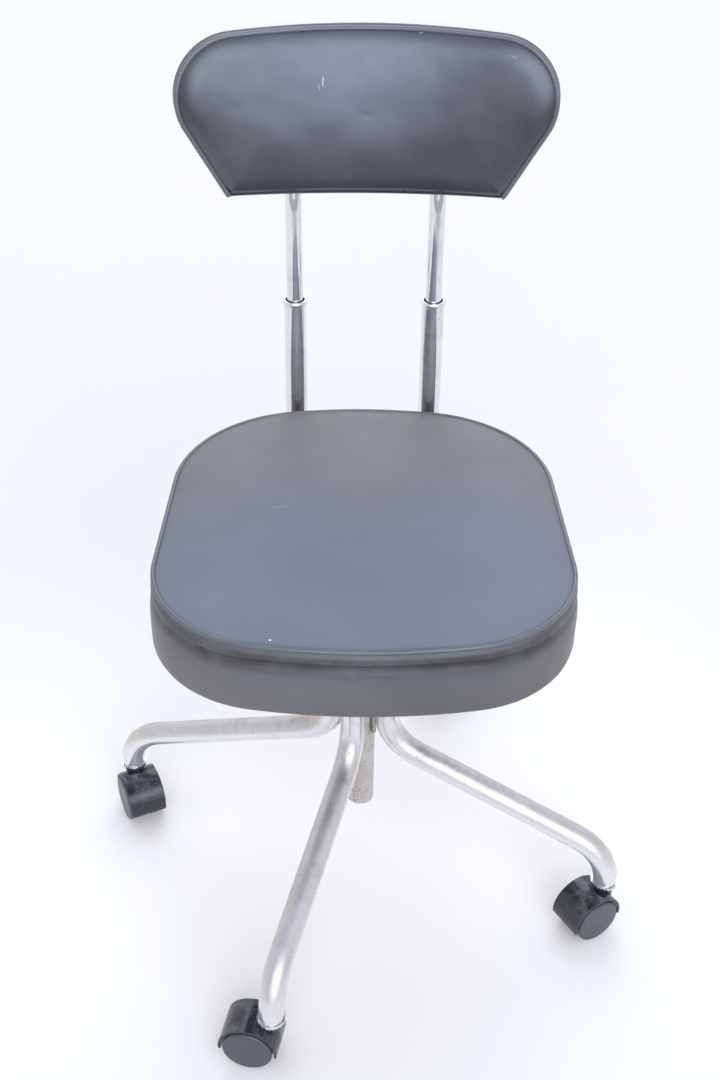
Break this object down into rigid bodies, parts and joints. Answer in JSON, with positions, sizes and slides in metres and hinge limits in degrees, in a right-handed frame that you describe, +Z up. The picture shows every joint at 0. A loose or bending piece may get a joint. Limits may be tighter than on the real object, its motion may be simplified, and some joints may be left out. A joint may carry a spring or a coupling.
{
  "type": "dentist stool",
  "caption": "Low-backed stool on bent tube legs with twin-wheel casters, screw height adjustment, swivelling padded seat and a curved backrest sliding on two rods.",
  "frame": {"origin": "on the floor, under the axis of the column that the seat turns on", "axes": "+Z up, -Y towards the front of the seat, +X towards the right side seen from the front"},
  "size_m": [0.5538, 0.5814, 0.852],
  "materials": {
    "leg_chrome": "worn chrome plate, pitted",
    "column_steel": "dull plated tube with dark pits",
    "socket_steel": "bright plated, toothed edge",
    "caster_black": "glossy black moulding, dusty",
    "caster_disc": "smooth dark slate moulding",
    "post_chrome": "polished chrome plate",
    "collar_chrome": "polished chrome plate",
    "bush_plastic": "black nylon",
    "knob_black": "black fluted moulding",
    "vinyl_blue_grey": "blue-grey upholstery vinyl",
    "welt_vinyl": "vinyl covered cord",
    "plywood": "birch plywood",
    "black_steel": "black painted steel",
    "screw_zinc": "zinc plated",
    "plain_steel": "turned steel, oiled",
    "bush_brass": "turned bronze",
    "nut_black": "black painted cast steel"
  },
  "bodies": {
    "base": {"caster_socket_front": "socket_steel", "caster_socket_left": "socket_steel", "caster_socket_rear": "socket_steel", "caster_socket_right": "socket_steel", "column_bush": "bush_brass", "column_tube": "column_steel", "leg_front": "leg_chrome", "leg_left": "leg_chrome", "leg_rear": "leg_chrome", "leg_right": "leg_chrome", "spindle_key": "plain_steel"},
    "height_nut": {"height_nut": "nut_black"},
    "lifting_screw": {"spindle": "plain_steel", "thrust_washer": "bush_brass"},
    "seat": {"back_tube_left": "post_chrome", "back_tube_right": "post_chrome", "clamp_bosses": "collar_chrome", "guide_bushes": "bush_plastic", "saddle_screws": "screw_zinc", "seat_board": "plywood", "seat_cushion": "vinyl_blue_grey", "seat_plate": "black_steel", "seat_welt": "welt_vinyl", "swivel_hub": "black_steel", "tube_collars": "collar_chrome", "tube_saddles": "black_steel"},
    "backrest": {"back_board": "plywood", "back_cushion": "vinyl_blue_grey", "back_pad": "vinyl_blue_grey", "back_rod_left": "post_chrome", "back_rod_right": "post_chrome", "back_welt_front": "welt_vinyl", "back_welt_rear": "welt_vinyl", "rod_straps": "black_steel", "strap_screws": "screw_zinc"},
    "clamp_left": {"clamp_screw_left": "knob_black"},
    "clamp_right": {"clamp_screw_right": "knob_black"},
    "caster_front": {"caster_axle_front": "plain_steel", "caster_hood_front": "caster_black", "caster_stem_front": "plain_steel"},
    "caster_right": {"caster_axle_right": "plain_steel", "caster_hood_right": "caster_black", "caster_stem_right": "plain_steel"},
    "caster_rear": {"caster_axle_rear": "plain_steel", "caster_hood_rear": "caster_black", "caster_stem_rear": "plain_steel"},
    "caster_left": {"caster_axle_left": "plain_steel", "caster_hood_left": "caster_black", "caster_stem_left": "plain_steel"},
    "wheel_left_front": {"wheel_left_front": "caster_disc"},
    "wheel_right_front": {"wheel_right_front": "caster_disc"},
    "wheel_left_right": {"wheel_left_right": "caster_disc"},
    "wheel_right_right": {"wheel_right_right": "caster_disc"},
    "wheel_left_rear": {"wheel_left_rear": "caster_disc"},
    "wheel_right_rear": {"wheel_right_rear": "caster_disc"},
    "wheel_left_left": {"wheel_left_left": "caster_disc"},
    "wheel_right_left": {"wheel_right_left": "caster_disc"}
  },
  "joints": [
    {"name": "nut_turn", "type": "hinge", "parent": "base", "child": "height_nut", "pos_m": [0, 0, 0.2688], "axis": [0, 0, 1], "range_deg": [-4965, 4256]},
    {"name": "seat_height", "type": "slide", "parent": "base", "child": "lifting_screw", "axis": [0, 0, 1], "range_m": [-0.06, 0.07]},
    {"name": "seat_swivel", "type": "hinge", "parent": "lifting_screw", "child": "seat", "pos_m": [0, 0, 0.36], "axis": [0, 0, 1], "continuous": true},
    {"name": "back_height", "type": "slide", "parent": "seat", "child": "backrest", "axis": [0, 0, 1], "range_m": [-0.07, 0.05]},
    {"name": "clamp_left_turn", "type": "hinge", "parent": "seat", "child": "clamp_left", "pos_m": [-0.069, 0.206, 0.5595], "axis": [0, 1, 0], "range_deg": [-90, 540]},
    {"name": "clamp_right_turn", "type": "hinge", "parent": "seat", "child": "clamp_right", "pos_m": [0.069, 0.206, 0.5595], "axis": [0, 1, 0], "range_deg": [-90, 540]},
    {"name": "caster_front_swivel", "type": "hinge", "parent": "base", "child": "caster_front", "pos_m": [-0.08599, -0.257, 0.06], "axis": [0, 0, 1], "continuous": true},
    {"name": "wheel_left_front_roll", "type": "hinge", "parent": "caster_front", "child": "wheel_left_front", "pos_m": [-0.10555, -0.25284, 0.025], "axis": [-0.2079, -0.9781, 0], "continuous": true},
    {"name": "wheel_right_front_roll", "type": "hinge", "parent": "caster_front", "child": "wheel_right_front", "pos_m": [-0.10555, -0.25284, 0.025], "axis": [-0.2079, -0.9781, 0], "continuous": true},
    {"name": "caster_right_swivel", "type": "hinge", "parent": "base", "child": "caster_right", "pos_m": [0.257, -0.08599, 0.06], "axis": [0, 0, 1], "continuous": true},
    {"name": "wheel_left_right_roll", "type": "hinge", "parent": "caster_right", "child": "wheel_left_right", "pos_m": [0.24003, -0.09659, 0.025], "axis": [0.5299, -0.848, 0], "continuous": true},
    {"name": "wheel_right_right_roll", "type": "hinge", "parent": "caster_right", "child": "wheel_right_right", "pos_m": [0.24003, -0.09659, 0.025], "axis": [0.5299, -0.848, 0], "continuous": true},
    {"name": "caster_rear_swivel", "type": "hinge", "parent": "base", "child": "caster_rear", "pos_m": [0.08599, 0.257, 0.06], "axis": [0, 0, 1], "continuous": true},
    {"name": "wheel_left_rear_roll", "type": "hinge", "parent": "caster_rear", "child": "wheel_left_rear", "pos_m": [0.10175, 0.26931, 0.025], "axis": [-0.6157, 0.788, 0], "continuous": true},
    {"name": "wheel_right_rear_roll", "type": "hinge", "parent": "caster_rear", "child": "wheel_right_rear", "pos_m": [0.10175, 0.26931, 0.025], "axis": [-0.6157, 0.788, 0], "continuous": true},
    {"name": "caster_left_swivel", "type": "hinge", "parent": "base", "child": "caster_left", "pos_m": [-0.257, 0.08599, 0.06], "axis": [0, 0, 1], "continuous": true},
    {"name": "wheel_left_left_roll", "type": "hinge", "parent": "caster_left", "child": "wheel_left_left", "pos_m": [-0.24886, 0.06772, 0.025], "axis": [0.9135, 0.4067, 0], "continuous": true},
    {"name": "wheel_right_left_roll", "type": "hinge", "parent": "caster_left", "child": "wheel_right_left", "pos_m": [-0.24886, 0.06772, 0.025], "axis": [0.9135, 0.4067, 0], "continuous": true}
  ],
  "couplings": [
    {"joint": "nut_turn", "follows": "seat_height", "rad_per_m": -1236.8}
  ]
}
